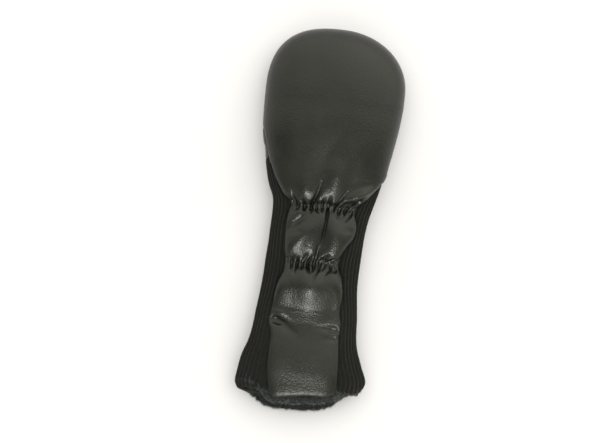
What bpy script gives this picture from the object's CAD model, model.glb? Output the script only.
"""Driver head cover: shirred leather, rib knit and plush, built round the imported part.

Lengths are in millimetres until a mesh is made. "Distance", or d, is measured from the mouth lip towards the
closed end of the crown. Angles go round a section: 0 on top, -90 and 90 at the sides, 180 underneath.
"""

import math

import bpy
import numpy as np
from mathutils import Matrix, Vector


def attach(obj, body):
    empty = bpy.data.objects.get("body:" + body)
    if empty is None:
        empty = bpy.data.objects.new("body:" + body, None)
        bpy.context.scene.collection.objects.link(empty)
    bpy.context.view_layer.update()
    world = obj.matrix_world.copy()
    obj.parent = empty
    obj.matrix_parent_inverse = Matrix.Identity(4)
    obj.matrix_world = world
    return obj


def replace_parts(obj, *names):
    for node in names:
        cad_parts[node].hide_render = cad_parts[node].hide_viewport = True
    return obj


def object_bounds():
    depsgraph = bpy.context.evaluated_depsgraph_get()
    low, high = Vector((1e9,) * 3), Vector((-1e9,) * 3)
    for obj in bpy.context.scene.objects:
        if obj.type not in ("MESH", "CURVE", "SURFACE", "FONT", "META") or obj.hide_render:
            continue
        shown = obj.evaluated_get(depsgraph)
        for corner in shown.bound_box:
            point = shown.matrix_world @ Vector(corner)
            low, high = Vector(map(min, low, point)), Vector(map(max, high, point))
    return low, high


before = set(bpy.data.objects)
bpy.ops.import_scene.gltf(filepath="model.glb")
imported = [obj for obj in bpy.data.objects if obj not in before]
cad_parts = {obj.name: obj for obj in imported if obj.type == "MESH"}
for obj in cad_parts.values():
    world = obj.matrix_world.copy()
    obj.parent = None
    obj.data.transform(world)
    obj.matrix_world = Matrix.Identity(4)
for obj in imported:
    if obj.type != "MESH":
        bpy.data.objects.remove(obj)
cad_low, cad_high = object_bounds()

MM = 0.001
LENGTH = (cad_high.y - cad_low.y) / MM
MOUTH_Y = cad_low.y / MM
SIDE_Z = 15.5  # height where the cover is widest
FLAT_SHARE = 0.62  # share of the width that lies flat on the table
ROUNDNESS = 0.93  # 1 would make each quarter of a section an ellipse
LEATHER = 1.2
KNIT = 1.8
RIB_PITCH = 3.9
RIB_DEPTH = 1.35
PILE = 5.0
GATHERS = (146.0, 203.0)  # distance of the two elastics
ELASTIC_WIDTH = 9.0
ELASTIC_THICKNESS = 0.9
CLEAR_OF_TABLE = 0.15  # lowest point of the knit and the pile
BACK_INSET = 0.15  # the back leather lies this far inside the outline
HEM = 16.0  # distance of the front panel's first row, before it follows the hem
CROWN = 240.0  # from here on the panels' edges are seams of the crown
GROOVE = 0.8  # depth of the crown seam
GROOVE_HALF_WIDTH = 3.0  # in degrees

# ---- outline of the cover ----
# Distance, left edge, right edge, height.
OUTLINE = np.array(
    [
        (-4, -66, 52, 30), (16, -68, 55, 31), (24, -69.5, 57.5, 32), (33, -68.5, 59.5, 33),
        (49, -66, 54, 34), (66, -60.5, 48, 35), (98, -56, 44.5, 36), (131, -52.5, 42, 32),
        (147, -52, 42.5, 30), (163, -51, 43, 33), (180, -50.5, 44, 35), (196, -50, 46.5, 33),
        (208, -51, 49.5, 34), (220, -56, 52.5, 38), (237, -60.5, 56.5, 44), (253, -64, 60.5, 49),
        (269, -67.5, 64, 53), (286, -69.2, 67, 56), (308, -69.9, 69.4, 57),
    ]
)  # fmt: skip
WIDEST = OUTLINE[-1, 0]
# Each quarter of the closed end is a superellipse: where it starts and its exponent.
LEFT_END, RIGHT_END, TOP_END, UNDER_END = (312, 2.6), (322, 2.05), (310, 2.2), (330, 2.6)

# Seam lines on the front and the back, as (distance, x).
FRONT_LEFT = [
    (0, -37), (20, -36.5), (27, -38.5), (60, -40.5), (72, -40), (89, -43.5), (100, -42), (114, -40.5),
    (126, -38), (134, -35), (147, -34), (160, -35.5), (190, -36), (200, -34.5), (204, -34), (211, -40),
    (224, -49), (238, -56.5), (253, -62), (276, -69), (290, -74),
]  # fmt: skip
FRONT_RIGHT = [
    (0, 29.5), (18, 31), (27, 32), (61, 31), (76, 29.5), (90, 30), (98, 28), (118, 28.5), (132, 26.5),
    (147, 22), (154, 22.5), (166, 27.5), (176, 33.5), (188, 35), (199, 32.5), (205, 33.5), (212, 40),
    (222, 47.5), (234, 56), (248, 62),
]  # fmt: skip
BACK_LEFT = [(-12, -36), (70, -36), (146, -32), (203, -33), (222, -45), (247, -62.5)]
BACK_RIGHT = [(-12, 32), (70, 32), (146, 27), (203, 31), (217, 42), (234, 56)]
LEFT_TIP, RIGHT_TIP = 247.0, 235.0  # upper points of the knit gussets
LEFT_AT_SIDE, RIGHT_AT_SIDE = 276, 242  # where the front panel's edges reach the side of the crown


def smooth(x, pairs):
    """Cubic Hermite curve through (x, y) pairs."""
    pairs = np.asarray(pairs, float)
    xs, ys = pairs[:, 0], pairs[:, 1]
    slope = np.gradient(ys, xs)
    x = np.clip(x, xs[0], xs[-1])
    k = np.clip(np.searchsorted(xs, x) - 1, 0, len(xs) - 2)
    h = xs[k + 1] - xs[k]
    t = (x - xs[k]) / h
    return (
        ys[k] * (1 + 2 * t) * (1 - t) ** 2
        + slope[k] * h * t * (1 - t) ** 2
        + ys[k + 1] * t * t * (3 - 2 * t)
        + slope[k + 1] * h * t * t * (t - 1)
    )


def quarter(d, start, exponent):
    """Share of full size left at a distance from the lip, falling from 1 at start to 0 at the closed end."""
    t = np.clip((d - start) / (LENGTH - start), 0, 1)
    return (1 - t**exponent) ** (1 / exponent)


def section(d):
    """Left and right edge, underside and top of the cover at a distance from the lip."""
    left = smooth(d, OUTLINE[:, [0, 1]]) * quarter(d, *LEFT_END)
    right = smooth(d, OUTLINE[:, [0, 2]]) * quarter(d, *RIGHT_END)
    top = SIDE_Z + (smooth(d, OUTLINE[:, [0, 3]]) - SIDE_Z) * quarter(d, *TOP_END)
    under = SIDE_Z - SIDE_Z * quarter(d, *UNDER_END)
    return left, right, under, top


def point(d, angle, inset=0.0):
    """Points on the cover's surface, or on a smaller copy of it that lies deeper by the inset."""
    left, right, under, top = section(d)
    middle, half = (left + right) / 2, np.maximum((right - left) / 2 - inset, 0.05)
    top, under = top - inset, under + inset
    foot = FLAT_SHARE * half
    side, a = np.sign(angle), np.abs(angle)
    up = np.radians(np.minimum(a, 90))
    x_up = half * np.sin(up) ** ROUNDNESS
    z_up = SIDE_Z + (top - SIDE_Z) * np.clip(np.cos(up), 0, 1) ** ROUNDNESS
    q = np.clip((a - 90) / 90, 0, 1)
    turn = np.radians(np.minimum(q * 180, 90))
    x_down = foot + (half - foot) * np.clip(np.cos(turn), 0, 1) ** ROUNDNESS
    x_down = np.where(q > 0.5, foot * (2 - 2 * q), x_down)
    z_down = SIDE_Z - (SIDE_Z - under) * np.sin(turn) ** ROUNDNESS
    x = middle + side * np.where(a <= 90, x_up, x_down)
    z = np.where(a <= 90, z_up, z_down)
    return np.stack([x, np.broadcast_to(d, x.shape) + MOUTH_Y, z], -1)


def top_angle(d, x):
    """Angle of the point on the upper side that has this x."""
    left, right, _, _ = section(d)
    middle, half = (left + right) / 2, (right - left) / 2
    share = np.clip(np.abs(x - middle) / half, 0, 1) ** (1 / ROUNDNESS)
    return np.sign(x - middle) * np.degrees(np.arcsin(share))


def under_angle(d, x):
    """Angle of the point on the underside that has this x."""
    left, right, _, _ = section(d)
    middle, half = (left + right) / 2, (right - left) / 2
    foot, out = FLAT_SHARE * half, np.abs(x - middle)
    flat = 135 + 45 * (1 - np.clip(out / foot, 0, 1))
    share = np.clip((out - foot) / (half - foot), 0, 1) ** (1 / ROUNDNESS)
    rounded = 90 + np.degrees(np.arccos(share)) / 2
    return np.sign(x - middle) * np.where(out < foot, flat, rounded)


# ---- meshes ----
def normals_of(grid):
    """Unit normals of a grid of points, rows by columns."""
    across = np.gradient(grid, axis=1)
    along = np.gradient(grid, axis=0)
    n = np.cross(across, along)
    return n / np.maximum(np.linalg.norm(n, axis=-1, keepdims=True), 1e-9)


def mesh_object(name, vertices, faces, material, uv=None):
    """A smooth-shaded mesh from points in millimetres. uv is one (u, v) per vertex, in millimetres."""
    mesh = bpy.data.meshes.new(name)
    faces = faces if isinstance(faces, list) else faces.tolist()
    mesh.from_pydata((np.asarray(vertices) * MM).tolist(), [], faces)
    mesh.polygons.foreach_set("use_smooth", [True] * len(mesh.polygons))
    if uv is not None:
        corner = np.empty(len(mesh.loops), int)
        mesh.loops.foreach_get("vertex_index", corner)
        layer = mesh.uv_layers.new(name="millimetres")
        layer.data.foreach_set("uv", np.asarray(uv)[corner].ravel())
    mesh.materials.append(material)
    mesh.update()
    piece = bpy.data.objects.new(name, mesh)
    bpy.context.scene.collection.objects.link(piece)
    return piece


def grid_faces(rows, columns, start=0):
    """Quads of a grid whose first vertex has index start."""
    index = start + np.arange(rows * columns).reshape(rows, columns)
    return np.stack([index[:-1, :-1], index[:-1, 1:], index[1:, 1:], index[1:, :-1]], -1).reshape(-1, 4)


def thick_sheet(name, outer, thickness, material, uv=None):
    """A closed sheet: the outer grid, an inner copy one thickness in, and a rim that joins them."""
    rows, columns = outer.shape[:2]
    inner = outer - normals_of(outer) * np.asarray(thickness)[..., None]
    count = rows * columns
    index = np.arange(count).reshape(rows, columns)
    edge = np.concatenate([index[0], index[1:, -1], index[-1, -2::-1], index[-2:0:-1, 0]])
    following = np.roll(edge, -1)
    rim = np.stack([following, edge, edge + count, following + count], -1)
    back = grid_faces(rows, columns, count)[:, ::-1]
    faces = np.concatenate([grid_faces(rows, columns), back, rim])
    vertices = np.concatenate([outer.reshape(-1, 3), inner.reshape(-1, 3)])
    uv = None if uv is None else np.concatenate([uv.reshape(-1, 2)] * 2)
    return mesh_object(name, vertices, faces, material, uv)


def arc_length(grid):
    """Running length along each row."""
    step = np.linalg.norm(np.diff(grid, axis=1), axis=-1)
    return np.concatenate([np.zeros((grid.shape[0], 1)), np.cumsum(step, 1)], 1)


def tube(path, radius, sides=6):
    """Vertices and faces of a closed tube along a path, with ends half as thick."""
    path = np.asarray(path)
    along = np.gradient(path, axis=0)
    along /= np.linalg.norm(along, axis=1, keepdims=True)
    first = np.cross(along, (0.2, 0.1, 1.0))  # no path runs in that direction
    first /= np.linalg.norm(first, axis=1, keepdims=True)
    second = np.cross(along, first)
    turn = np.linspace(0, 2 * np.pi, sides, endpoint=False)
    ends = np.full(len(path), radius)
    ends[0] = ends[-1] = radius * 0.5
    ring = first[:, None] * np.cos(turn)[None, :, None] + second[:, None] * np.sin(turn)[None, :, None]
    points = (path[:, None] + ring * ends[:, None, None]).reshape(-1, 3)
    faces = []
    for i in range(len(path) - 1):
        for j in range(sides):
            k = (j + 1) % sides
            faces.append([i * sides + j, i * sides + k, (i + 1) * sides + k, (i + 1) * sides + j])
    last = (len(path) - 1) * sides
    return points.tolist(), faces + [list(range(sides))[::-1], [last + j for j in range(sides)]]


def dashes(name, path, dash, gap, radius, material):
    """A row of stitches laid along a path."""
    length = np.concatenate([[0], np.cumsum(np.linalg.norm(np.diff(path, axis=0), axis=1))])
    vertices, faces = [], []
    for start in np.arange(gap / 2, length[-1] - dash, dash + gap):
        at = np.linspace(start, start + dash, 5)
        piece = np.stack([np.interp(at, length, path[:, k]) for k in range(3)], -1)
        points, polygons = tube(piece, radius)
        base = len(vertices)
        vertices += points
        faces += [[base + v for v in polygon] for polygon in polygons]
    return mesh_object(name, vertices, faces, material)


# ---- materials ----
class Shader:
    """A Principled material and short calls for its nodes."""

    def __init__(self, name):
        self.material = bpy.data.materials.new(name)
        self.material.use_nodes = True
        self.tree = self.material.node_tree
        self.principled = self.tree.nodes["Principled BSDF"]

    def node(self, kind, **values):
        new = self.tree.nodes.new(kind)
        for key, value in values.items():
            if hasattr(new, key):
                setattr(new, key, value)
            else:
                new.inputs[key.replace("_", " ")].default_value = value
        return new

    def link(self, source, target):
        self.tree.links.new(source, target)

    def set(self, **values):
        for key, value in values.items():
            self.principled.inputs[key.replace("_", " ")].default_value = value

    def coordinates(self, kind="Object"):
        return self.node("ShaderNodeTexCoord").outputs[kind]

    def noise(self, vector, scale, detail=3.0, roughness=0.55):
        new = self.node("ShaderNodeTexNoise", Scale=scale, Detail=detail, Roughness=roughness)
        self.link(vector, new.inputs["Vector"])
        return new.outputs["Fac"]

    def remap(self, source, low, high, to_low, to_high):
        new = self.node("ShaderNodeMapRange")
        for key, value in zip(("From Min", "From Max", "To Min", "To Max"), (low, high, to_low, to_high)):
            new.inputs[key].default_value = value
        self.link(source, new.inputs["Value"])
        return new.outputs["Result"]

    def base_colour(self, source, *colours):
        """Mixes two colours by the source and sends them to the surface."""
        tint = self.node("ShaderNodeMix", data_type="RGBA")
        for socket, colour in zip([s for s in tint.inputs if s.type == "RGBA"], colours):
            socket.default_value = (*colour, 1)
        self.link(source, tint.inputs["Factor"])
        result = next(s for s in tint.outputs if s.type == "RGBA")
        self.link(result, self.principled.inputs["Base Color"])

    def bump(self, height, strength, distance, before=None):
        new = self.node("ShaderNodeBump", Strength=strength, Distance=distance)
        self.link(height, new.inputs["Height"])
        if before is not None:
            self.link(before, new.inputs["Normal"])
        return new.outputs["Normal"]


def leather_material():
    """Black pebbled leather: small rounded grains, soft creases and a sheen that varies from place to place."""
    s = Shader("leather")
    at = s.coordinates()
    patches = s.noise(at, 28, 2.0)
    fine = s.noise(at, 900, 2.0)
    grain = s.node("ShaderNodeTexVoronoi", Scale=680.0, Randomness=0.95, feature="SMOOTH_F1")
    grain.inputs["Smoothness"].default_value = 0.35
    s.link(at, grain.inputs["Vector"])
    creases = s.noise(at, 190, 4.0, 0.6)
    rounded = s.bump(grain.outputs["Distance"], 0.50, -0.00036)
    creased = s.bump(creases, 0.22, 0.0006, rounded)
    s.link(creased, s.principled.inputs["Normal"])
    s.base_colour(s.remap(patches, 0.3, 0.7, 0, 1), (0.0036, 0.0039, 0.0028), (0.0068, 0.0071, 0.0055))
    mixed = s.node("ShaderNodeMath", operation="ADD")
    s.link(s.remap(patches, 0.3, 0.7, 0.28, 0.35), mixed.inputs[0])
    s.link(s.remap(fine, 0.3, 0.7, 0.0, 0.05), mixed.inputs[1])
    s.link(mixed.outputs[0], s.principled.inputs["Roughness"])
    s.set(IOR=1.385)
    return s.material


def knit_material():
    """Matt black rib knit: rows of small loops along each rib."""
    s = Shader("rib_knit")
    uv = s.coordinates("UV")
    loops = s.node("ShaderNodeTexWave", Scale=0.42, Distortion=1.2, Detail=1.0, bands_direction="Y")
    loops.inputs["Detail Scale"].default_value = 1.5
    s.link(uv, loops.inputs["Vector"])
    wales = s.node("ShaderNodeTexWave", Scale=0.36, Distortion=0.4, Detail=0.0, bands_direction="X")
    s.link(uv, wales.inputs["Vector"])
    fuzz = s.noise(uv, 2.5, 4.0, 0.7)
    looped = s.bump(loops.outputs["Fac"], 0.5, 0.0003)
    waled = s.bump(wales.outputs["Fac"], 0.4, 0.0003, looped)
    s.link(s.bump(fuzz, 0.5, 0.0004, waled), s.principled.inputs["Normal"])
    shade = s.noise(uv, 0.35, 3.0)
    s.base_colour(s.remap(shade, 0.3, 0.7, 0, 1), (0.0026, 0.0028, 0.0025), (0.0058, 0.0060, 0.0054))
    s.set(Roughness=0.92, Sheen_Weight=0.05, Sheen_Roughness=0.5, Specular_IOR_Level=0.15)
    return s.material


def plush_material():
    """Near-black plush with a slightly blue-green cast."""
    s = Shader("plush")
    at = s.coordinates()
    clumps = s.noise(at, 420, 4.0)
    s.base_colour(s.remap(clumps, 0.35, 0.65, 0, 1), (0.0026, 0.0038, 0.0042), (0.0185, 0.0250, 0.0255))
    s.link(s.bump(s.noise(at, 700, 3.0), 0.6, 0.0008), s.principled.inputs["Normal"])
    s.set(Roughness=0.95, Sheen_Weight=0.25, Sheen_Roughness=0.5, Specular_IOR_Level=0.15)
    return s.material


def plain_cloth(name, colour, roughness, scale):
    """Thread or woven elastic: one colour that varies a little, with a fine weave in the bump."""
    s = Shader(name)
    weave = s.noise(s.coordinates(), scale, 2.0)
    s.link(s.bump(weave, 0.4, 0.0003), s.principled.inputs["Normal"])
    s.base_colour(weave, [c * 0.7 for c in colour], [c * 1.3 for c in colour])
    s.set(Roughness=roughness)
    return s.material


leather, knit, plush = leather_material(), knit_material(), plush_material()
thread = plain_cloth("thread", (0.014, 0.014, 0.013), 0.7, 2500)
elastic = plain_cloth("elastic", (0.03, 0.03, 0.03), 0.8, 1500)


# ---- cloth ----
PUSH = 0.85  # how firmly cloth resists being squeezed, where 1 is as firm as against pulling
BENDING = ((2, 0.22), (4, 0.05))  # how firmly points this far apart are kept from folding up
BENDING_SLACK = 0.97  # share of the flat distance that is kept
STIFFER_ALONG = 1.5
CLOTH_STEPS = 120
CLOTH_PRESSURE = 0.006  # lift in each step
DEEPEST_SAG = 6.0
SMOOTHING = 0.4


def stripes(x, y, wavelength, meander, seed):
    """Folds that run along y: smooth noise across x, about one wavelength wide, that drifts slowly along y."""
    maker = np.random.default_rng(seed)
    size = 64
    knots = maker.uniform(-1, 1, (size, size))
    u = x / wavelength + 30 + 0.6 * np.sin(y / meander + seed)
    v = y / (meander * 2.5) + 10
    i, j = np.floor(u).astype(int) % (size - 1), np.floor(v).astype(int) % (size - 1)
    fu, fv = u - np.floor(u), v - np.floor(v)
    fu, fv = fu * fu * (3 - 2 * fu), fv * fv * (3 - 2 * fv)
    low = knots[i, j] * (1 - fu) + knots[i + 1, j] * fu
    high = knots[i, j + 1] * (1 - fu) + knots[i + 1, j + 1] * fu
    return low * (1 - fv) + high * fv


def bump_at(x, d, centre_x, centre_d, size_x, size_d, turn):
    """A rounded bump of height 1, longer along its own axis if size_d is larger, turned by some degrees."""
    c, s = math.cos(math.radians(turn)), math.sin(math.radians(turn))
    u, v = (x - centre_x) * c + (d - centre_d) * s, -(x - centre_x) * s + (d - centre_d) * c
    return np.exp(-((u / size_x) ** 2) - (v / size_d) ** 2)


def project(points, free, a, b, rest, pull, push):
    """Moves the ends of each pair of points towards their rest distance."""
    gap = points[b] - points[a]
    length = np.linalg.norm(gap, axis=-1)
    both = np.maximum(free[a] + free[b], 1e-6)
    stiff = np.where(length > rest, pull, push)
    move = (stiff * (length - rest) / np.maximum(length, 1e-6) / both)[..., None] * gap
    points[a] += move * free[a][..., None]
    points[b] -= move * free[b][..., None]


def pairs(axis, reach, parity, shape):
    """Slices for every second pair of points that are reach apart along an axis."""
    first, second = [slice(None), slice(None)], [slice(None), slice(None)]
    starts = np.arange(shape[axis] - reach)
    starts = starts[(starts // reach) % 2 == parity]
    first[axis], second[axis] = starts, starts + reach
    return tuple(first), tuple(second)


def relax(points, free, across, along, floor):
    """Position-based cloth: keeps its rest lengths, resists sharp bending, and is lifted by pressure."""
    links = []
    for parity in (0, 1):
        for axis, rest in ((1, across), (0, along)):
            a, b = pairs(axis, 1, parity, points.shape)
            links.append((a, b, rest[a], 1.0, PUSH))
    for reach, push in BENDING:
        for parity in (0, 1):
            for axis, rest in ((1, across), (0, along)):
                a, b = pairs(axis, reach, parity, points.shape)
                push_here = push if axis else push * STIFFER_ALONG
                links.append((a, b, rest[a] * reach * BENDING_SLACK, 0.0, push_here))
    for _ in range(CLOTH_STEPS):
        points += normals_of(points) * (free * CLOTH_PRESSURE)[..., None]
        for a, b, rest, pull, push in links:
            project(points, free, a, b, rest, pull, push)
        low = floor - points[..., 2]
        points[..., 2] += np.where((low > 0) & (free > 0), low, 0)
    return points


def settle(points):
    """Moves each point but those on the border some way towards the mean of its four neighbours."""
    mean = (points[:-2, 1:-1] + points[2:, 1:-1] + points[1:-1, :-2] + points[1:-1, 2:]) / 4
    points[1:-1, 1:-1] += SMOOTHING * (mean - points[1:-1, 1:-1])
    return points


# Rows of the closed end, closer together towards its tip.
END_ROWS = WIDEST + (LENGTH - WIDEST) * np.sin(np.radians(np.linspace(0, 89.4, 40)))


def front_hem(x):
    """Distance of the front panel's hem: it slants and waves a little."""
    return 16.3 + 0.105 * x + 0.7 * np.cos((x + 2) / 9.0)


# ---- front leather panel ----
# Valleys that run out of each gather: x on the gather line, width, depth, reach towards the crown and towards the
# mouth, and how far they lean sideways for each millimetre towards the crown and towards the mouth.
UPPER_VALLEYS = [
    (-30, 1.8, 3.4, 10, 11, -0.5, 0.9), (-24.5, 1.5, 4.4, 15, 12, -0.5, 0.6), (-18, 1.3, 4.2, 12, 8, -0.2, 0.2),
    (-11.5, 1.4, 4.4, 28, 9, 0.27, 0.1), (-6.5, 1.2, 4.2, 9, 10, 0.1, -0.3), (-1.5, 1.3, 4.4, 12, 11, 0.1, -0.2),
    (4, 1.1, 4.8, 13, 16, 0.15, 0.09), (9.5, 1.5, 4.4, 22, 13, 0.5, 0.1), (15.5, 1.7, 4.6, 13, 12, 0.5, 0.3),
    (21.5, 2.0, 5.4, 15, 11, 0.8, 0.3), (28, 2.2, 5.0, 9, 18, 1.0, 0.6),
]  # fmt: skip
LOWER_VALLEYS = [
    (-30, 1.4, 3.2, 9, 9, 0.3, -0.5), (-25.5, 1.5, 4.2, 12, 12, 0.3, -0.2), (-20, 1.5, 4.4, 10, 14, 0.1, 0.1),
    (-15, 1.4, 4.0, 15, 9, 0.3, 0.0), (-10, 1.5, 4.8, 12, 14, 0.4, -0.2), (-3.5, 2.0, 5.4, 24, 10, 0.1, 0.3),
    (2, 1.5, 4.2, 14, 24, 0.6, 0.35), (7, 1.5, 4.4, 13, 12, 0.9, 0.5), (12, 1.6, 4.6, 14, 18, 0.9, 0.5),
    (17.5, 1.5, 3.6, 9, 12, 1.0, 0.7),
]  # fmt: skip
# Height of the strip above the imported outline, along its length.
PLUMP = [
    (16, 2.8), (22, 2.5), (30, 2.1), (40, 2.1), (50, 1.8), (60, 1.0), (76, -1.4), (88, -2.4), (92, -2.1),
    (97, -1.6), (103, -0.4), (109, 2.2), (115, 5.2), (121, 7.6), (128, 8.6), (136, 7.8), (142, 6.0), (146, 4.6),
    (150, 5.0), (158, 5.6), (176, 4.6), (190, 4.6), (198, 4.6), (203, 3.4), (207.5, 5.4), (216, 6.4), (230, 4.4),
    (250, 2.0), (275, 0.0), (400, 0.0),
]  # fmt: skip
# How many times wider than the sculpted shape the cloth is cut, along the strip.
FULLNESS = [
    (0, 1.01), (90, 1.01), (120, 1.02), (136, 1.03), (146, 1.06), (156, 1.03), (175, 1.02), (192, 1.03),
    (203, 1.06), (213, 1.04), (228, 1.02), (250, 1.0), (400, 1.0),
]  # fmt: skip


def valleys(x, d, line, rows):
    """Depth of all the valleys that leave one gather."""
    total = np.zeros(np.broadcast(x, d).shape)
    over = d - line
    for at, width, depth, up, down, lean_up, lean_down in rows:
        reach = np.where(over > 0, up, down)
        centre = at + np.where(over > 0, lean_up, lean_down) * over
        share = np.clip(np.abs(over) / reach, 0, 1)
        spread = width * (1 + 0.8 * share)
        total += depth * (1 - share) ** 1.1 * np.exp(-((np.abs(x - centre) / spread) ** 1.15))
    return total


# Sharp creases that leave each gather, pressed in last, in the same form as the valleys.
UPPER_CREASES = [
    (5.0, 0.9, 4.6, 1, 47, 0.0, 0.10), (-11.5, 0.9, 2.4, 30, 1, 0.27, 0.0), (9.5, 0.7, 1.6, 18, 1, 0.5, 0.0),
    (-24.5, 0.7, 1.4, 12, 1, -0.5, 0.0), (28, 0.8, 1.8, 8, 14, 1.0, 0.6), (-30, 0.7, 1.4, 1, 12, 0.0, 0.9),
]  # fmt: skip
LOWER_CREASES = [
    (-10, 0.7, 1.6, 12, 12, 0.4, -0.2), (2, 0.7, 1.6, 14, 20, 0.6, 0.35), (12, 0.7, 1.6, 12, 16, 0.9, 0.5),
    (-20, 0.7, 1.4, 8, 14, 0.1, 0.1),
]  # fmt: skip
# Swells and hollows, as height, centre x, centre distance, size across, size along and turn in degrees.
SWELLS = [
    # The neck: a long slanting fold, the hollow beside it, and small folds at the left and the right.
    (4.0, -16, 177, 8.5, 30, -36), (3.0, 19, 176, 11, 17, 25), (-3.4, -26, 184, 4.5, 13, -48),
    (-1.6, -27, 177, 9, 1.6, 0), (-1.0, 23, 182, 9, 1.5, -8), (-2.4, 3.0, 172, 5, 24, -8),
    # The top of the tail: a puff, and a hollow at its right.
    (2.8, -5, 126, 11, 21, 0), (-1.6, 20, 112, 8, 16, 0),
    # The tail's crease, which bites in from both edges, and the swells above it.
    (-5.0, -41, 88.5, 13, 3.0, -8), (-2.5, -25, 82, 12, 5, -30),
    (-3.6, 28, 83, 14, 2.2, -6), (-2.16, 29, 76, 11, 2.8, 8),
    (1.6, -32, 95, 7, 4.0, -8), (1.2, 24, 88, 10, 2.5, -6),
    # The corners of the hem.
    (-1.8, 33, 20, 7, 14, 0), (-0.8, -37, 18, 5, 7, 0),
    # The crown: a curled fold at the lower right, then slow swells above the gather.
    (6.0, 30, 219, 3.4, 12, -60), (-5.5, 31, 211.5, 5.5, 3.6, 15),
    (2.6, 10, 235, 10, 15, 0), (1.6, -19, 222, 6, 13, 0), (-2.6, -6, 292, 26, 44, 10),
    (-1.5, -3, 248, 9, 24, -22), (1.5, 34, 262, 17, 24, -24), (1.4, -40, 262, 12, 30, 10),
]  # fmt: skip


def from_middle(share):
    """0 in the middle of a panel and 1 at both of its edges."""
    return np.abs(2 * share - 1)


def to_gather(d):
    """How far away the nearer gather is."""
    return np.minimum(np.abs(d - GATHERS[0]), np.abs(d - GATHERS[1]))


def front_lift(x, d, share):
    """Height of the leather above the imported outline, before the cloth settles."""
    lower, upper = GATHERS
    wander = 1.3 * np.sin(x / 6.3 + 1.0) + 0.7 * np.sin(x / 2.9)  # of the gather lines
    nearest = to_gather(d - wander)
    lift = smooth(d - wander * np.exp(-((nearest / 12) ** 2)), PLUMP)
    lift -= valleys(x, d - wander, lower, LOWER_VALLEYS) + valleys(x, d - wander, upper, UPPER_VALLEYS)
    strip = np.clip((262 - d) / 60, 0, 1)  # fades out over the lower crown
    tucks = stripes(x, d, 3.0, 7, 3) * 0.7 * np.exp(-((nearest / 7) ** 2))
    folds = stripes(x, d, 7.5, 18, 5) * 1.2 * np.exp(-(((nearest - 9) / 11) ** 2))
    broad = stripes(x, d, 15, 34, 8) * 1.6 * np.exp(-(((nearest - 22) / 22) ** 2)) * (d > 100)
    lift += (tucks + folds + broad) * strip
    for height, *place in SWELLS:
        lift += height * bump_at(x, d, *place)
    return lift * (1 - from_middle(share) ** 7)


def crown_groove(share, turn):
    """Depth of the seam round the crown, along both edges of a panel that spans an angle."""
    inward = (1 - from_middle(share)) * turn / 2
    return GROOVE * np.exp(-((inward / GROOVE_HALF_WIDTH) ** 2))


def spacing(points, axis):
    """Distance from each point of a grid to the next along an axis. The last one is repeated."""
    step = np.linalg.norm(np.diff(points, axis=axis), axis=-1)
    return np.concatenate([step, np.take(step, [-1], axis)], axis)


def front_panel():
    """Outer side of the front leather and its coordinates in the cloth."""
    columns = 161
    rows = np.concatenate([np.arange(HEM, 250, 1.1), np.arange(250, WIDEST - 0.5, 1.6), END_ROWS])
    share = np.linspace(0, 1, columns)[None, :]
    d = np.repeat(rows[:, None], columns, 1)
    tuck = 0.9  # the panel's edge lies this far inside the seam line
    left = np.where(rows < LEFT_AT_SIDE, top_angle(rows, smooth(rows, FRONT_LEFT) + tuck), -90)[:, None]
    right = np.where(rows < RIGHT_AT_SIDE, top_angle(rows, smooth(rows, FRONT_RIGHT) - tuck), 90)[:, None]
    angle = left + (right - left) * share
    hem = front_hem(point(d, angle)[..., 0]) + 3.4 * from_middle(share) ** 8  # with rounded corners
    d = d + (hem - HEM) * np.clip(1 - (d - HEM) / 30, 0, 1) ** 2
    base = point(d, angle)
    outward = normals_of(base)
    x = base[..., 0]
    groove = crown_groove(share, np.abs(right - left)) * np.clip((d - CROWN) / 20, 0, 1)
    from_seam = (1 - from_middle(share)) * np.abs(x[:, :1] - x[:, -1:]) / 2
    hem_roll = 0.7 * np.exp(-(((d - hem) / 1.6) ** 2))
    seam_roll = 1.3 * np.exp(-((from_seam / 1.8) ** 2)) * (d < CROWN)
    lift = front_lift(x, d, share) - groove - (hem_roll + seam_roll)
    points = base + outward * lift[..., None]

    across = spacing(points, 1) * smooth(d, FULLNESS)
    along = spacing(points, 0)
    free = np.ones(d.shape)
    free[:, [0, -1]] = 0
    free[0] = 0
    free *= np.clip((252 - d) / 26, 0, 1)  # the crown keeps its shape
    for gather in GATHERS:
        free *= 1 - 0.7 * np.exp(-(((d - gather) / 5) ** 2))
    floor = base[..., 2] - DEEPEST_SAG
    points = relax(points, free, across, along, floor)
    points = settle(points)
    pressed = valleys(x, d, GATHERS[1], UPPER_CREASES) + valleys(x, d, GATHERS[0], LOWER_CREASES)
    points -= outward * (pressed * (1 - from_middle(share) ** 7))[..., None]
    return points, np.stack([arc_length(base), d], -1)


front_points, front_uv = front_panel()
front = thick_sheet("front_leather", front_points, LEATHER, leather, front_uv)


# ---- knit gussets ----
# Where each gusset ends at the mouth, as (angle, distance).
LEFT_LIP = [
    (-180, 6), (-150, 7), (-130, 9.5), (-110, 12.5), (-97, 16), (-90, 19), (-75, 15), (-60, 18), (-45, 18.5),
    (0, 15),
]  # fmt: skip
RIGHT_LIP = [(0, 21), (40, 23), (60, 22), (75, 24), (90, 30), (100, 27), (115, 22), (140, 17), (180, 12)]
LIP_FADE = 60.0  # the lip's slant is gone this far from the mouth


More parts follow.
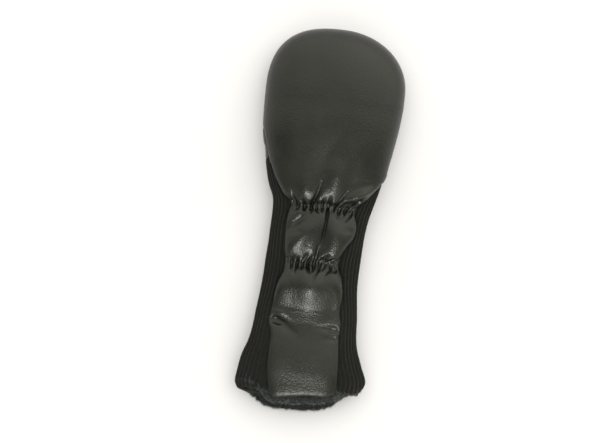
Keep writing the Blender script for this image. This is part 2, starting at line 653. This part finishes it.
def gusset(side):
    """Outer side of one knit gusset, from under the front leather round the side to the back leather, with its
    coordinates in the cloth. Side is -1 or 1."""
    left = side < 0
    tip, lip = (LEFT_TIP, LEFT_LIP) if left else (RIGHT_TIP, RIGHT_LIP)
    front_line, back_line = (FRONT_LEFT, BACK_LEFT) if left else (FRONT_RIGHT, BACK_RIGHT)
    columns = 190
    rows = np.concatenate([np.arange(0, 12, 0.8), np.arange(12, tip, 2.0), [tip]])
    share = np.linspace(0, 1, columns)[None, :]
    start = top_angle(rows, smooth(rows, front_line) - side * 2.0)
    end = under_angle(rows, smooth(rows, back_line) - side * 1.0)
    start, end = np.minimum(np.abs(start), 90) * side, np.maximum(np.abs(end), 90.5) * side
    fade = np.clip((tip - rows) / 6, 0, 1)
    angle = start[:, None] + (end - start)[:, None] * share * np.maximum(fade, 0.02)[:, None]
    d = np.repeat(rows[:, None], columns, 1)
    d = d + smooth(angle, lip) * np.clip(1 - d / LIP_FADE, 0, 1)
    base = point(d, angle)
    if left:
        base, angle, d = base[:, ::-1], angle[:, ::-1], d[:, ::-1]
    outward = normals_of(base)
    length = arc_length(base)
    at_side = np.array([np.interp(90, np.abs(a)[::side], run[::side]) for a, run in zip(angle, length)])
    across = length - at_side[:, None] + 0.35 * np.sin(d / 23 + 1)  # 0 where the cover is widest
    flare = 1 + 0.3 * np.clip(1 - d / 75, 0, 1)  # the ribs spread towards the mouth
    rib = np.abs(np.cos(np.pi * across / (RIB_PITCH * flare))) ** 0.8
    height = RIB_DEPTH * (rib - 1)
    height += 0.5 * stripes(across, d, 9, 30, 21 if left else 22)
    underside = np.abs(angle) > 100
    height = np.where(underside, np.minimum(height, 0.0) * 0.5, height)
    under_leather = np.clip(1 - np.abs(np.abs(angle) - np.abs(start)[:, None]) / 7, 0, 1)
    height -= 1.3 * under_leather
    points = base + outward * height[..., None]
    roll = np.clip(1 - (d - smooth(angle, lip)) / 2.2, 0, 1) ** 2
    points -= outward * roll[..., None]
    points[..., 2] = np.maximum(points[..., 2], CLEAR_OF_TABLE)
    return points, np.stack([across, d], -1)


left_points, left_uv = gusset(-1)
left_gusset = thick_sheet("left_knit", left_points, KNIT, knit, left_uv)
right_points, right_uv = gusset(1)
right_gusset = thick_sheet("right_knit", right_points, KNIT, knit, right_uv)


# ---- back leather panel ----
def past_tip(rows, tip):
    """Rises smoothly from 0 to 1 round a gusset's upper point."""
    t = np.clip((rows - tip + 8) / 10, 0, 1)
    return t * t * (3 - 2 * t)


def back_panel():
    """Outer side of the back leather and its coordinates in the cloth. Its angles run from 90 at the right, past
    180 underneath, to 270 at the left and on over the sliver that shows from above."""
    columns = 121
    rows = np.concatenate([np.arange(0, WIDEST - 0.5, 2.0), END_ROWS])
    share = np.linspace(0, 1, columns)[None, :]
    d = np.repeat(rows[:, None], columns, 1)
    start = 360 - np.abs(under_angle(rows, smooth(rows, BACK_LEFT)))
    sliver = 360 - np.abs(top_angle(rows, smooth(rows, FRONT_LEFT) + 1.5))
    start = start + (np.where(rows < LEFT_AT_SIDE, sliver, 270.0) - start) * past_tip(rows, LEFT_TIP)
    end = under_angle(rows, smooth(rows, BACK_RIGHT))
    end = end + (90.0 - end) * past_tip(rows, RIGHT_TIP)
    angle = end[:, None] + (start - end)[:, None] * share
    lip = np.interp(angle, [120, 180, 240], [12, 6, 5])
    d = d + lip * np.clip(1 - d / LIP_FADE, 0, 1)
    base = point(d, np.where(angle > 180, angle - 360, angle))
    outward = normals_of(base)
    tucks = np.minimum(stripes(base[..., 0], d, 3.2, 12, 31), 0) * 3.2 * np.exp(-((to_gather(d) / 10) ** 2))
    folds = np.minimum(stripes(base[..., 0], d, 10, 30, 33), 0) * 2.0 * (d > 90) * (d < 260)
    groove = crown_groove(share, (start - end)[:, None]) * np.clip((d - CROWN) / 20, 0, 1)
    lift = (tucks + folds) * (1 - from_middle(share) ** 8) - groove - BACK_INSET
    points = base + outward * lift[..., None]
    points[..., 2] = np.maximum(points[..., 2], 0.0)
    return settle(points), np.stack([arc_length(base), d], -1)


back_points, back_uv = back_panel()
back = thick_sheet("back_leather", back_points, LEATHER, leather, back_uv)


# ---- plush lining ----
# Where each layer of plush ends at the mouth, as (x, distance).
FRONT_PLUSH_LIP = [
    (-70, 21), (-58, 23), (-46, 20), (-36, 11), (-20, 9), (0, 10), (20, 13), (34, 18), (48, 25), (62, 30),
]  # fmt: skip
BACK_PLUSH_LIP = [
    (-70, 21), (-60, 16), (-52, 11), (-41, 4), (-34, 1.5), (-16, 0.5), (7, 1.5), (20, 4), (28, 8), (34, 14),
    (48, 22),
]  # fmt: skip
# How deep each layer lies below the outer surface, as (distance, depth).
FRONT_DEPTH = [(0, 2.0), (14, 2.2), (34, 6.0), (70, 11.0), (235, 11.0), (300, 9.0), (400, 9.0)]
BACK_DEPTH = [(0, 1.6), (400, 2.4)]
LINING_END = 14.0  # the lining stops this far short of the closed end


def lining(angles, lip, depth, seed):
    """The outer side of a layer of plush between two angles, that runs out to its own lip."""
    columns = 90
    rows = np.concatenate([np.linspace(0, 30, 26), np.arange(34, 300, 6.0), END_ROWS[2::5]])
    rows = np.unique(np.minimum(rows, LENGTH - LINING_END))
    d = np.repeat(rows[:, None], columns, 1)
    angle = np.broadcast_to(np.linspace(*angles, columns)[None, :], d.shape)
    wrapped = np.where(angle > 180, angle - 360, angle)
    deep = smooth(d, depth) + 6 * np.clip((d - 340) / 30, 0, 1) ** 2
    d = d + smooth(point(d, wrapped, deep)[..., 0], lip) * np.clip(1 - d / LIP_FADE, 0, 1)
    surface = point(d, wrapped, deep)
    near_lip = np.clip(1 - rows / 5, 0, 1)[:, None] ** 2
    swell = stripes(surface[..., 0], d, 8, 10, seed) * 0.8 - 1.3 * near_lip
    return surface + normals_of(surface) * swell[..., None], (PILE - 1.5) * (1 - 0.5 * near_lip)


def strands(surface, count, length, droop, seed):
    """Short curled hairs on a grid of points, as three-sided spikes that lean together in clumps."""
    maker = np.random.default_rng(seed)
    n = normals_of(surface)
    i = maker.integers(0, surface.shape[0] - 1, count)
    j = maker.integers(0, surface.shape[1] - 1, count)
    u, v = maker.random((2, count, 1))
    near = surface[i, j] * (1 - u) + surface[i + 1, j] * u
    far = surface[i, j + 1] * (1 - u) + surface[i + 1, j + 1] * u
    root = near * (1 - v) + far * v
    clump = np.stack([stripes(root[:, 0], root[:, 1], 2.4, 3.1, seed + k) for k in range(3)], -1)
    heading = n[i, j] + 0.9 * clump + maker.normal(0, 0.35, (count, 3)) + np.array(droop)
    heading /= np.linalg.norm(heading, axis=1, keepdims=True)
    long = length * maker.uniform(0.5, 1.2, (count, 1))
    curl = 0.5 * clump + maker.normal(0, 0.35, (count, 3))
    middle = root + heading * long * 0.5 + curl * long * 0.15
    tip = root + heading * long + curl * long * 0.45
    side = np.cross(heading, maker.normal(0, 1, (count, 3)))
    side /= np.linalg.norm(side, axis=1, keepdims=True)
    other = np.cross(heading, side)
    turns = np.radians([0, 120, 240])
    ring = side[:, None] * np.cos(turns)[None, :, None] + other[:, None] * np.sin(turns)[None, :, None]
    low, high = root[:, None] - heading[:, None] * 0.4 + ring * 0.2, middle[:, None] + ring * 0.14
    points = np.concatenate([low, high, tip[:, None]], 1)
    points[..., 2] = np.maximum(points[..., 2], CLEAR_OF_TABLE)
    sides = np.array([[0, 1, 4, 3], [1, 2, 5, 4], [2, 0, 3, 5]])
    ends = np.array([[3, 4, 6], [4, 5, 6], [5, 3, 6], [2, 1, 0]])
    base = (np.arange(count) * points.shape[1])[:, None, None]
    quads, triangles = (sides + base).reshape(-1, 4), (ends + base).reshape(-1, 3)
    return points.reshape(-1, 3), quads.tolist() + triangles.tolist()


def plush_piece(name, surface, thickness, piles):
    """A lining layer, joined with its pile. Each pile is a grid, a number of hairs, their length and their droop."""
    body = thick_sheet(name, surface, thickness, plush)
    hairs = []
    for k, (grid, count, length, droop) in enumerate(piles):
        points, faces = strands(grid, count, length, droop, 51 + 10 * k)
        hairs.append(mesh_object(f"{name}_pile_{k}", points, faces, plush))
    bpy.ops.object.select_all(action="DESELECT")
    for part in (*hairs, body):
        part.select_set(True)
    bpy.context.view_layer.objects.active = body
    bpy.ops.object.join()
    body.select_set(False)
    return body


def edge_strip(surface, thickness):
    """The cut edge of a layer as a narrow grid that faces the mouth, from its inner side to its outer side."""
    inner = surface[0] - normals_of(surface)[0] * thickness[0][:, None]
    return np.stack([inner + (surface[0] - inner) * t - (0, 0.3, 0) for t in (0, 0.5, 1)])


front_lining_points, front_thick = lining((-86, 86), FRONT_PLUSH_LIP, FRONT_DEPTH, 41)
back_lining_points, back_thick = lining((94, 266), BACK_PLUSH_LIP, BACK_DEPTH, 43)
back_inner = back_lining_points - normals_of(back_lining_points) * back_thick[..., None]
front_lining = plush_piece("front_plush", front_lining_points, front_thick, [
    (front_lining_points[:7], 4000, 2.4, (0, -0.8, 0)),
    (edge_strip(front_lining_points, front_thick), 5000, 3.2, (0, -0.2, 0.2)),
])  # fmt: skip
back_lining = plush_piece("back_plush", back_lining_points, back_thick, [
    (back_inner[:22, ::-1], 9000, 3.0, (0, -0.4, 0)),
    (edge_strip(back_lining_points, back_thick), 6000, 3.4, (0, -0.3, 0.2)),
])  # fmt: skip


# ---- threads and elastics ----
def row_at(points, distance, column=None):
    """The grid row nearest a distance from the lip, read in the middle column unless another is given."""
    column = points.shape[1] // 2 if column is None else column
    return int(np.argmin(np.abs(points[:, column, 1] - MOUTH_Y - distance)))


threads, bands = [], []
front_normals, back_normals = normals_of(front_points), normals_of(back_points)
for level, distance in zip(("lower", "upper"), GATHERS):
    for face, points, out in (("front", front_points, front_normals), ("back", back_points, back_normals)):
        row = row_at(points, distance)
        path = (points + out * 0.12)[row, 6:-6]
        stitches = dashes(f"{face}_{level}_stitches", path, dash=2.4, gap=0.9, radius=0.28, material=thread)
        threads.append(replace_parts(stitches, f"{face}_{level}_elastic_stitches"))
        first, last = row_at(points, distance - ELASTIC_WIDTH / 2), row_at(points, distance + ELASTIC_WIDTH / 2)
        behind = (points - out * (LEATHER + 0.15))[first : last + 1, 8:-8]
        band = thick_sheet(f"{face}_{level}_band", behind, ELASTIC_THICKNESS, elastic)
        bands.append(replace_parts(band, f"{face}_{level}_elastic"))


LEFT_SEAM_END = 262.0


def under_path(line, tip):
    """A seam line on the underside, from the mouth to a gusset's upper point."""
    d = np.arange(8, tip - 2, 1.5)
    path = point(d, under_angle(d, smooth(d, line)), 0.1)
    path[:, 2] = np.maximum(path[:, 2], 0.3)
    return path


last_left = row_at(front_points, LEFT_SEAM_END, 0)
last_right = row_at(front_points, RIGHT_TIP, 0)
sunk = front_points - front_normals * 1.0
crown_rows = np.concatenate([np.linspace(278, 320, 30), END_ROWS[6:-1]])
left_half, right_half = (point(crown_rows, np.full(crown_rows.shape, side), 0.9) for side in (-90.0, 90.0))
crown_path = np.concatenate([left_half, right_half[::-1]])
# The lip's seam goes round the mouth: each grid, and the first and last column it takes.
lip_grids = [(front_points, 0, None), (right_points, 20, -6), (back_points, 0, None), (left_points, 6, -20)]
lip_path = np.concatenate([(grid - normals_of(grid) * 0.9)[1, a:b] for grid, a, b in lip_grids])
for name, path, node in (
    ("front_left_seam", sunk[:last_left, 0], "front_left_seam_thread"),
    ("front_right_seam", sunk[:last_right, -1], "front_right_seam_thread"),
    ("back_left_seam", under_path(BACK_LEFT, LEFT_TIP), "back_left_seam_thread"),
    ("back_right_seam", under_path(BACK_RIGHT, RIGHT_TIP), "back_right_seam_thread"),
    ("crown_seam", crown_path, "crown_seam_thread"),
    ("mouth_seam", lip_path, "mouth_seam_thread"),
):
    stitches = dashes(name, path, dash=3.0, gap=0.7, radius=0.3, material=thread)
    threads.append(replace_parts(stitches, node))

# ---- what each piece is ----
for piece, node, slot in (
    (front, "front_leather_panel", "leather"),
    (back, "back_leather_panel", "leather"),
    (left_gusset, "left_knit_gusset", "rib_knit"),
    (right_gusset, "right_knit_gusset", "rib_knit"),
    (front_lining, "front_plush_lining", "plush"),
    (back_lining, "back_plush_lining", "plush"),
):
    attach(piece, "root")
    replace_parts(piece, node)
for slot, trims in (("thread", threads), ("elastic", bands)):
    for piece in trims:
        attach(piece, "root")


# ---- stage, light and camera ----
def paper():
    """White paper, a little blue to take the warmth of the room's light back."""
    s = Shader("paper")
    s.set(Base_Color=(0.80, 0.785, 0.875, 1), Roughness=0.9, Specular_IOR_Level=0.1)
    return s.material


bpy.ops.mesh.primitive_plane_add(size=6, location=(0, 0, -0.0002))
floor = bpy.context.object
floor.name = "floor"
floor.data.materials.append(paper())

ROOM_LIGHT = 4.8
world = bpy.data.worlds.new("studio")
bpy.context.scene.world = world
world.use_nodes = True
sky = world.node_tree
background = sky.nodes["Background"]
background.inputs["Strength"].default_value = ROOM_LIGHT
direction = sky.nodes.new("ShaderNodeTexCoord")
parts = sky.nodes.new("ShaderNodeSeparateXYZ")
sky.links.new(direction.outputs["Generated"], parts.inputs["Vector"])
both = sky.nodes.new("ShaderNodeVectorMath")
both.operation = "MULTIPLY"
# The room is brightest beyond the crown and towards the right: pairs of direction and brightness.
SKY_ALONG_Y = [(-0.6, 0.27), (-0.3, 0.11), (-0.12, 0.14), (0.06, 0.42), (0.3, 0.46), (0.8, 0.50)]
SKY_ALONG_X = [(-0.7, 0.72), (-0.3, 0.88), (0.0, 0.78), (0.3, 1.0), (0.7, 1.0)]
SKY_BLUE = 0.86  # the room light is slightly warm
for axis, levels, blue, socket in (("Y", SKY_ALONG_Y, SKY_BLUE, 0), ("X", SKY_ALONG_X, 1, 1)):
    position = sky.nodes.new("ShaderNodeMapRange")  # from -1..1 to 0..1
    position.inputs["From Min"].default_value = -1
    ramp = sky.nodes.new("ShaderNodeValToRGB")
    while len(ramp.color_ramp.elements) < len(levels):
        ramp.color_ramp.elements.new(0.5)
    for element, (toward, bright) in zip(ramp.color_ramp.elements, levels):
        element.position = (toward + 1) / 2
        element.color = (bright, bright, bright * blue, 1)
    sky.links.new(parts.outputs[axis], position.inputs["Value"])
    sky.links.new(position.outputs["Result"], ramp.inputs["Fac"])
    sky.links.new(ramp.outputs["Color"], both.inputs[socket])
sky.links.new(both.outputs["Vector"], background.inputs["Color"])


def area_light(name, place, target, size, power, colour=(1, 1, 1)):
    """A soft square light at a place, aimed at a target, all in metres."""
    data = bpy.data.lights.new(name, "AREA")
    data.size, data.energy, data.color = size, power, colour
    lamp = bpy.data.objects.new(name, data)
    lamp.location = place
    away = np.array(place) - np.array(target)
    lamp.rotation_mode = "QUATERNION"
    lamp.rotation_quaternion = Vector(away).to_track_quat("Z", "Y")
    bpy.context.scene.collection.objects.link(lamp)
    return lamp


# Both lamps light the cover only, so that the paper keeps the even light of the room.
lit = bpy.data.collections.new("lit_by_lamps")
for piece in (front, back, left_gusset, right_gusset, front_lining, back_lining, *threads, *bands):
    lit.objects.link(piece)
for lamp in (
    area_light("window", (0.04, -0.97, 1.07), (0, 0, 0), size=0.34, power=16.5, colour=(1, 1, 0.94)),
    area_light("far_window", (0.35, 1.30, 0.80), (0, 0.1, 0), size=1.0, power=1),
):
    lamp.light_linking.receiver_collection = lit

CAMERA_DISTANCE = 1.2  # in metres, as are the three below
OUTLINE_HEIGHT = 0.02  # height at which the picture's width is measured
PICTURE_WIDTH = 0.584
PICTURE_CENTRE = (-0.0266, -0.0045)
ROLL = 6.0
SENSOR = 36
camera_data = bpy.data.cameras.new("camera")
camera_data.sensor_width = SENSOR
camera_data.lens = SENSOR * CAMERA_DISTANCE / PICTURE_WIDTH
camera = bpy.data.objects.new("camera", camera_data)
camera.location = (*PICTURE_CENTRE, CAMERA_DISTANCE + OUTLINE_HEIGHT)
camera.rotation_euler = (0, 0, math.radians(ROLL))
bpy.context.scene.collection.objects.link(camera)
bpy.context.scene.camera = camera

bpy.context.scene.view_settings.view_transform = "Standard"
bpy.context.scene.view_settings.look = "None"
bpy.context.scene.view_settings.exposure = 0.0
